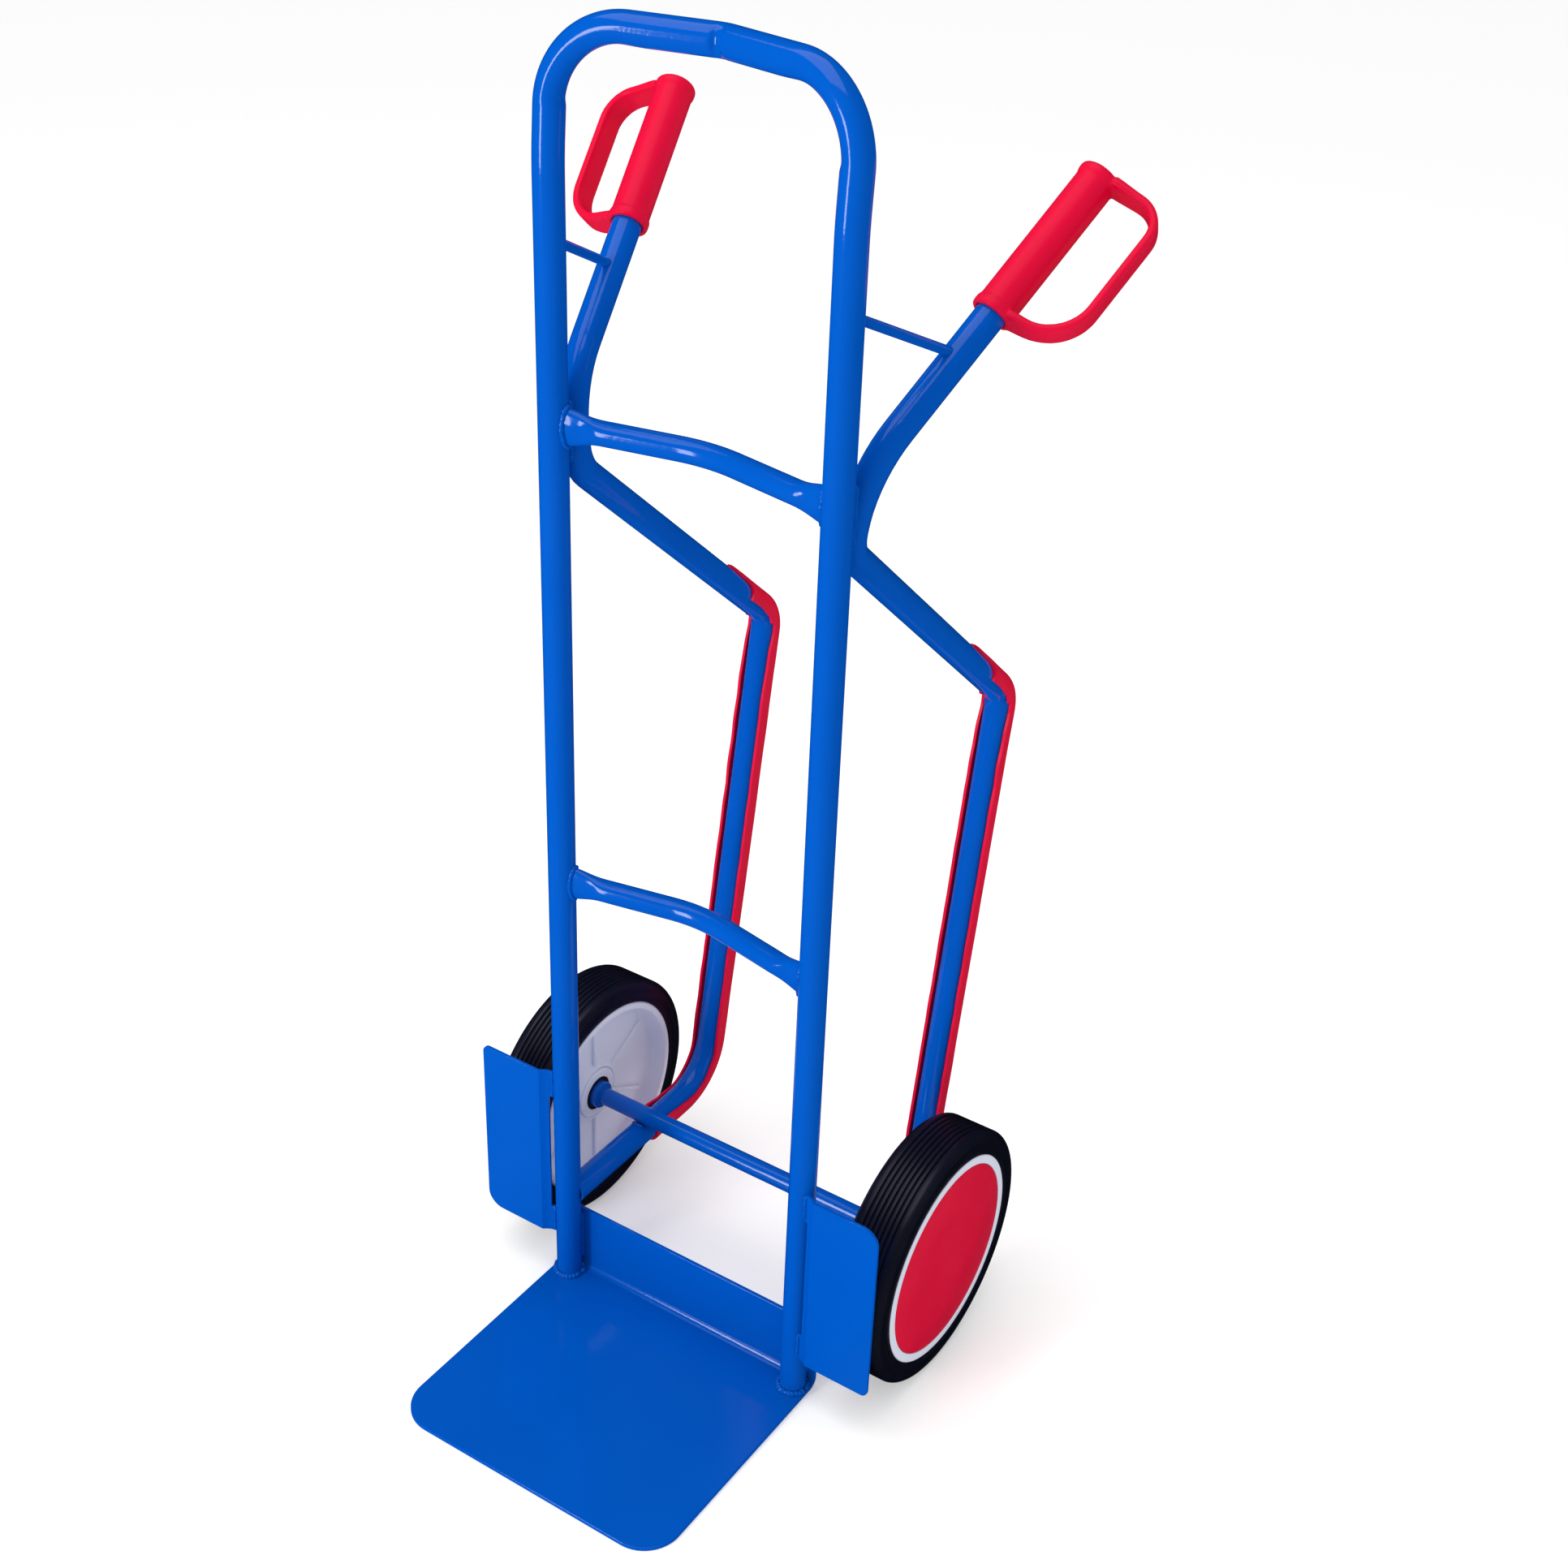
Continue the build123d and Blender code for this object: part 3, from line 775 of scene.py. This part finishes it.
def guard_shape(side, low, high, top_radius, bottom_radius):
    y = (low.y + high.y) / 2
    outer_x = high.x if side > 0 else -low.x
    slot_low, slot_high = low.z + TAB_HEIGHT, high.z - TAB_HEIGHT
    outline = [(TAB_END, low.z), (outer_x, low.z), (outer_x, high.z), (TAB_END, high.z),
               (TAB_END, slot_high), (SLOT_EDGE, slot_high), (SLOT_EDGE, slot_low), (TAB_END, slot_low)]
    shape = flat_sheet([(x, y, z) for x, z in outline])
    round_corners(shape, lambda p: p.x > outer_x - mm and p.z > high.z - mm, top_radius, 10)
    round_corners(shape, lambda p: p.x > outer_x - mm and p.z < low.z + mm, bottom_radius, 10)
    round_corners(shape, lambda p: abs(p.x - SLOT_EDGE) < mm / 2, 1.2 * mm, 4)
    for step in range(1, FOLD_CUTS + 1):
        x = TAB_END + (FOLD_START - TAB_END) * step / FOLD_CUTS
        geometry = shape.verts[:] + shape.edges[:] + shape.faces[:]
        bmesh.ops.bisect_plane(shape, geom=geometry, plane_co=(x, 0, 0), plane_no=(1, 0, 0))
    for vert in shape.verts:
        flatness = min(1.0, (vert.co.x - TAB_END) / (FOLD_START - TAB_END)) ** FOLD_POWER
        vert.co.y += FOLD_SHIFT * (1 - flatness)
        vert.co.x *= side
    return shape


for name, side in SIDES.items():
    low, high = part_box(name + "_wheel_guard")
    radii = (WIDE_CORNER, TIGHT_CORNER) if side > 0 else (TIGHT_CORNER, WIDE_CORNER)
    guard = piece(name + "_guard_sheet", guard_shape(side, low, high, *radii), blue, "truck",
                  replaces=[name + "_wheel_guard"], sharp=30)
    thicken(guard, GUARD, 0.6 * mm)

# %% [markdown]
# ## Grips
# A grip is one moulding: sleeve, two collars and a flat loop that guards the knuckles. Each part is
# simple by itself. A voxel remesh then fuses them into one skin, and a few rounds of smoothing melt
# the joins into the soft blends that moulded plastic has.

# %% Grips
HANDLE_FOOT = Vector((138.5, 25.2, 927.0)) * mm
HANDLE_RUN = Vector((60.0, 224.5, 183.5)) * mm
GRIP_LENGTH = 142 * mm
GRIP_BORE = 12.6 * mm
SLEEVE = 16.2 * mm
COLLAR = 1.2 * mm
COLLAR_LENGTH = 9 * mm
LOOP_REACH = 62.5 * mm
LOOP_DROOP = math.radians(13)
LOOP_WIDTH = 11.0 * mm          # half of the flat loop's width
LOOP_THICKNESS = 3.7 * mm       # half of its thickness
LOOP_CORNERS = 4.5              # how square its section is
VOXEL = 1.0 * mm
MELT_ROUNDS = 10


def handle_frame(side):
    """The grip's lower end and its axes: outwards through the loop and up the handle."""
    up = HANDLE_RUN.normalized()
    outwards = (ACROSS - up * up.x).normalized()
    outwards = Matrix.Rotation(LOOP_DROOP, 3, up) @ outwards
    base = HANDLE_FOOT + HANDLE_RUN - up * (GRIP_LENGTH - 4 * mm)
    mirror = Matrix.Diagonal((side, 1, 1))
    return mirror @ base, mirror @ outwards, mirror @ up


def sleeve_outline():
    """Closed outline of (radius, height) from the bore's lip over the outside to the closed top."""
    wide = SLEEVE + COLLAR
    round_edge = 1.6 * mm
    outline = [(GRIP_BORE, 138 * mm), (GRIP_BORE, 0.8 * mm), (GRIP_BORE + 0.8 * mm, 0)]
    outline += arc(wide - round_edge, round_edge, round_edge, 270, 360, steps=4)
    outline += [(wide, COLLAR_LENGTH - 1.5 * mm), (SLEEVE, COLLAR_LENGTH + 0.5 * mm)]
    top_collar = GRIP_LENGTH - COLLAR_LENGTH
    outline += [(SLEEVE, top_collar - 1.5 * mm), (wide, top_collar + 2 * mm)]
    outline += arc(wide - 3 * mm, GRIP_LENGTH - 3.6 * mm, 3 * mm, 0, 75, steps=5)
    return outline + [(0.0, GRIP_LENGTH), (0.0, 138 * mm)]


def grip_sleeve(base, outwards, up):
    shape = bmesh.new()
    corners = [shape.verts.new(base + outwards * r + up * h) for r, h in sleeve_outline()]
    for first, second in zip(corners, corners[1:] + corners[:1]):
        shape.edges.new((first, second))
    bmesh.ops.spin(shape, geom=shape.verts[:] + shape.edges[:], cent=base, axis=up, dvec=(0, 0, 0),
                   angle=math.tau, steps=72, use_merge=True)
    bmesh.ops.remove_doubles(shape, verts=shape.verts, dist=MERGE_DISTANCE)
    return shape


def knuckle_loop(base, outwards, up):
    inside = SLEEVE - 2 * mm
    corners = [(inside, 5 * mm), (LOOP_REACH, 8 * mm), (LOOP_REACH, 135.5 * mm), (inside, 138 * mm)]
    route = Route([base + outwards * r + up * h for r, h in corners], [38 * mm, 24 * mm])

    def section(distance, angle):
        power = 2 / LOOP_CORNERS
        wide, thick = math.cos(angle), math.sin(angle)
        from_end = min(distance, route.length - distance)
        grow = 1 + 0.15 * (1 - smooth_step(0, 26 * mm, from_end))
        return (math.copysign(abs(wide) ** power, wide) * LOOP_WIDTH * grow,
                math.copysign(abs(thick) ** power, thick) * LOOP_THICKNESS * grow)

    loop = rolled(route.at, route.length, section, up.cross(outwards), around=32, step=3 * mm)
    bmesh.ops.remove_doubles(loop, verts=loop.verts, dist=MERGE_DISTANCE)
    bmesh.ops.holes_fill(loop, edges=loop.edges, sides=0)
    return loop


def fused(shape):
    """One skin round everything in the shape, with its joins melted."""
    bmesh.ops.recalc_face_normals(shape, faces=shape.faces)
    mesh = bpy.data.meshes.new("parts")
    shape.to_mesh(mesh)
    shape.free()
    holder = bpy.data.objects.new("parts", mesh)
    bpy.context.scene.collection.objects.link(holder)
    skin = holder.modifiers.new("skin", "REMESH")
    skin.mode = "VOXEL"
    skin.voxel_size = VOXEL
    melt = holder.modifiers.new("melt", "SMOOTH")
    melt.factor = 0.5
    melt.iterations = MELT_ROUNDS
    bpy.context.view_layer.update()
    evaluated = holder.evaluated_get(bpy.context.evaluated_depsgraph_get())
    result = bmesh.new()
    result.from_mesh(evaluated.to_mesh())
    evaluated.to_mesh_clear()
    bpy.data.objects.remove(holder)
    bpy.data.meshes.remove(mesh)
    return result


for name, side in SIDES.items():
    place = handle_frame(side)
    whole = join_shapes([grip_sleeve(*place), knuckle_loop(*place)])
    piece(name + "_moulded_grip", fused(whole), red, "truck", replaces=[name + "_grip"],
          sharp=180)

# %% [markdown]
# ## Skid covers
# The cover is a plastic channel clipped over the skid. Its legs change width along the way: a tongue
# lies on the strut, side flaps reach past its middle, and below the bend the legs run down the skid with
# a slightly wavy cut. One table of stations and half widths, measured round the channel, says all that.

# %% Skid covers
COVER_WALL = 2.8 * mm
COVER_ROUND = TUBE + 0.25 * mm + COVER_WALL / 2
COVER_TIP = 95 * mm
COVER_FOOT = 102 * mm
SKID = [(128.5, 309.0, 617.0), (130.5, 225.0, 105.3)]
STRUT_TOP = (129.5, 25.2, 863.0)
COVER_WIDTHS = [(0, 2), (5, 7), (24, 10), (31, 13), (35, 19), (37, 25), (62, 25), (80, 27), (92, 29),
                (96, 25), (104, 26.5), (130, 29), (165, 31), (560, 31), (590, 28), (622, 26),
                (655, 28), (680, 31), (720, 31)]
WAVE = 0.5 * mm


def cover_route(side):
    top, foot = (Vector(point) * mm for point in SKID)
    tip = top + (Vector(STRUT_TOP) * mm - top).normalized() * COVER_TIP
    corners = [tip, top, foot, foot - REARWARD * COVER_FOOT]
    return Route([Vector((side * p.x, p.y, p.z)) for p in corners], [30 * mm, 56 * mm])


def half_width(distance):
    """Reads the table of stations, in millimetres, with a soft step between two of them."""
    place = distance / mm
    for (start, width), (stop, next_width) in zip(COVER_WIDTHS, COVER_WIDTHS[1:]):
        if place <= stop:
            break
    return (width + (next_width - width) * smooth_step(start, stop, place)) * mm


def cover_shape(side):
    route = cover_route(side)
    quarter = COVER_ROUND * math.pi / 2

    def section(distance, angle):
        share = angle / math.pi - 1
        wave = noise.noise(Vector((distance / (24 * mm), side * 7.0, math.copysign(3.0, share))))
        wide = half_width(distance) + wave * WAVE * 2 * smooth_step(0, 40 * mm, distance)
        round_way = share * wide
        swell = noise.noise(Vector((distance / (55 * mm), side, share))) * 0.5 * mm
        radius = COVER_ROUND + max(0.0, swell)
        leg = max(0.0, abs(round_way) - quarter)
        turn = max(-quarter, min(quarter, round_way)) / COVER_ROUND
        return radius * math.sin(turn), side * (leg - radius * math.cos(turn))

    return rolled(route.at, route.length, section, ACROSS * side, around=26, step=2.2 * mm)


for name, side in SIDES.items():
    cover = piece(name + "_cover_channel", cover_shape(side), red, "truck",
                  replaces=[name + "_skid_cover"], sharp=50)
    thicken(cover, COVER_WALL, 0.5 * mm)

# %% [markdown]
# ## Weld beads
# The frame is welded by hand. A bead is a thin line of overlapping drops, so its radius rises and falls
# along its length, and each drop is a bit different. Beads end in a point. All of them are one piece,
# because nobody would take them off one by one.

# %% Weld beads
random.seed(7)
DROP = 3.2 * mm                 # length of one drop
BEAD_END = 2.5 * mm             # how quickly an end comes to a point
beads = []


def bead(line, length, radius):
    phase = random.random() * 9

    def section(distance, angle):
        ends = min(distance, length - distance) / BEAD_END
        drop = 0.78 + 0.34 * abs(math.sin(math.pi * distance / DROP + phase))
        spot = Vector((distance / (4 * mm) + phase, math.cos(angle), math.sin(angle)))
        lump = 1 + 0.34 * noise.noise(spot)
        reach = radius * drop * lump * min(1.0, math.sqrt(max(0.0, ends)))
        return reach * math.cos(angle), reach * math.sin(angle)

    shape = rolled(line, length, section, Vector((0.36, 0.48, 0.8)), around=10, step=0.8 * mm)
    beads.append(shape)


def straight(start, stop, radius):
    start, stop = Vector(start), Vector(stop)
    ahead = (stop - start).normalized()
    bead(lambda distance: start + ahead * distance, (stop - start).length, radius)


def ring(centre, first, second, reach, start, stop, radius):
    """Part of a ring in the plane of two axes; angles in degrees from the first to the second."""
    begin, sweep = math.radians(start), math.radians(stop - start)

    def line(distance):
        angle = begin + distance / reach
        return Vector(centre) + (first * math.cos(angle) + second * math.sin(angle)) * reach

    bead(line, abs(sweep) * reach, radius)


def saddle(side, z, radius):
    """Round a cross bar's squeezed end, where it meets the upright."""
    tall, deep = FLARE_HEIGHT + 0.6 * mm, FLARE_DEPTH + 0.6 * mm

    def line(distance):
        angle = distance / (math.pi * (tall + deep)) * math.tau
        y = deep * math.cos(angle) + 2.4 * mm
        inwards = math.sqrt(max(0.0, (TUBE + 0.2 * mm) ** 2 - y * y))
        return Vector((side * (UPRIGHT_X - inwards), y, z + tall * math.sin(angle)))

    bead(line, math.pi * (tall + deep), radius)


# %% [markdown]
# Thick beads hold the uprights to the toe plate, finer ones hold the rods and collars. The numbers are
# millimetres: how thick each bead is, and where the straight seams start and stop above the plate.
# One bead is known to be wrong: the stay rod's ring sits about 43 mm below the rod's upright end.

# %% Lay the beads
FOOT_BEAD = 3.0
UPSTAND_BEAD = 2.6
TUBE_BEAD = 2.4
BAR_BEAD = 2.1
ROD_BEAD = 1.6
TAB_BEAD = 2.0
UPSTAND_SEAM = (12, 70)
TUBE_SEAM = (868, 921)
SEAM_SIDES = (-7 * mm, 7 * mm)
SADDLE_SIDES = (-8 * mm, 8 * mm)
rod_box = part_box("right_stay_rod")
axle_centre = middle("axle")


def seam(foot, reach, span, radius):
    """A straight vertical seam behind the upright, between two heights above the plate."""
    low, high = span
    back = foot + REARWARD * reach * mm
    straight(back + UP * low * mm, back + UP * high * mm, radius * mm)


for name, side in SIDES.items():
    upright = Vector((side * UPRIGHT_X, 0, PLATE_TOP))
    ring(upright + UP * 1.4 * mm, ACROSS, REARWARD, TUBE + 1.1 * mm, 0, 360, FOOT_BEAD * mm)
    for offset in SEAM_SIDES:
        seam(upright + ACROSS * offset, 11.4, UPSTAND_SEAM, UPSTAND_BEAD)
        seam(upright + ACROSS * offset, 12.6, TUBE_SEAM, TUBE_BEAD)
    for level in ("upper", "lower"):
        saddle(side, middle("crossbar_" + level).z, BAR_BEAD * mm)
    # too low: the rod meets the upright near the top of its box, not the bottom
    rod_end = Vector((side * (UPRIGHT_X + 1.5 * mm), 12.2 * mm, rod_box[0].z + 4.2 * mm))
    ring(rod_end, ACROSS, UP, 4.4 * mm, 0, 360, ROD_BEAD * mm)
    low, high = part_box(name + "_wheel_guard")
    for foot in (low.z + 1 * mm, high.z - TAB_HEIGHT + 1 * mm):
        start = Vector((side * (TAB_END + 0.3 * mm), -9.2 * mm, foot))
        straight(start, start + UP * (TAB_HEIGHT - 2 * mm), TAB_BEAD * mm)
    for shift in SADDLE_SIDES:
        place = Vector((side * 130.5 * mm, axle_centre.y + shift, axle_centre.z - 9 * mm))
        straight(place - ACROSS * 7 * mm, place + ACROSS * 7 * mm, BAR_BEAD * mm)
    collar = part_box(name + "_axle_collar")
    collar_x = (collar[0] if side > 0 else collar[1]).x
    ring(Vector((collar_x, axle_centre.y, axle_centre.z)), REARWARD, UP, 9.6 * mm, 0, 360,
         ROD_BEAD * mm)

piece("weld_beads", join_shapes(beads), blue, "truck", sharp=70)

# %% [markdown]
# ## Camera
# The camera stands in front of the truck, to its right and above it, looking down. A lens a little
# longer than normal keeps the near wheel from looking too big.

# %% Camera
CAMERA_PLACE = (0.9230, -1.2994, 1.5920)
CAMERA_TURN = 32.40             # degrees to the right of straight ahead
CAMERA_DOWN = 31.43             # degrees below level
CAMERA_ROLL = 2.39
LENS = 51.42
camera_data = bpy.data.cameras.new("camera")
camera_data.lens = LENS
camera_data.sensor_width = 36.0
camera_data.shift_x = -0.0009
camera_data.shift_y = 0.0042
camera = bpy.data.objects.new("camera", camera_data)
bpy.context.scene.collection.objects.link(camera)
turn = Matrix.Rotation(math.radians(CAMERA_TURN), 4, "Z")
tilt = Matrix.Rotation(math.radians(90 - CAMERA_DOWN), 4, "X")
roll = Matrix.Rotation(math.radians(CAMERA_ROLL), 4, "Z")
camera.matrix_world = Matrix.Translation(CAMERA_PLACE) @ turn @ tilt @ roll
bpy.context.scene.camera = camera

# %% [markdown]
# ## Light
# A tall soft box in front of the truck, a little to the left, draws bright lines along the tubes. A
# wide panel overhead fills the toe plate and the top bar, and the white world lifts the shadows.

# %% Lights
FRONT_POWER = 42
OVERHEAD_POWER = 26
WORLD_STRENGTH = 0.78


def soft_box(name, place, target, width, height, power):
    light = bpy.data.lights.new(name, "AREA")
    light.shape = "RECTANGLE"
    light.size = width
    light.size_y = height
    light.energy = power
    lamp = bpy.data.objects.new(name, light)
    bpy.context.scene.collection.objects.link(lamp)
    look = (Vector(target) - Vector(place)).to_track_quat("-Z", "Y")
    lamp.matrix_world = Matrix.Translation(place) @ look.to_matrix().to_4x4()


soft_box("front box", (-1.05, -2.75, 1.15), (0, 0, 0.75), 0.6, 1.6, FRONT_POWER)
soft_box("overhead", (-0.4, -0.3, 3.2), (0, 0, 0.3), 2.2, 2.2, OVERHEAD_POWER)
world = bpy.data.worlds.new("white room")
world.use_nodes = True
world.node_tree.nodes["Background"].inputs["Color"].default_value = shade(1, 1, 1)
world.node_tree.nodes["Background"].inputs["Strength"].default_value = WORLD_STRENGTH
world.cycles_visibility.glossy = False
bpy.context.scene.world = world
bpy.context.scene.view_settings.view_transform = "Standard"

# %% [markdown]
# ## Floor
# A plain floor that glows a little stays white right to the edges, and still takes a soft shadow.

# %% Floor
FLOOR_HALF = 12
FLOOR_GLOW = 0.25


def pale_floor():
    finish = Finish("pale floor", Roughness=0.9, Specular_IOR_Level=0.0)
    finish.show("Base Color", shade(0.9, 0.9, 0.9))
    finish.surface.inputs["Emission Color"].default_value = shade(1, 1, 1)
    finish.surface.inputs["Emission Strength"].default_value = FLOOR_GLOW
    shape = bmesh.new()
    bmesh.ops.create_grid(shape, x_segments=1, y_segments=1, size=FLOOR_HALF)
    mesh = bpy.data.meshes.new("floor")
    shape.to_mesh(mesh)
    shape.free()
    mesh.materials.append(finish.material)
    floor = bpy.data.objects.new("floor", mesh)
    bpy.context.scene.collection.objects.link(floor)
    floor.visible_glossy = False


pale_floor()
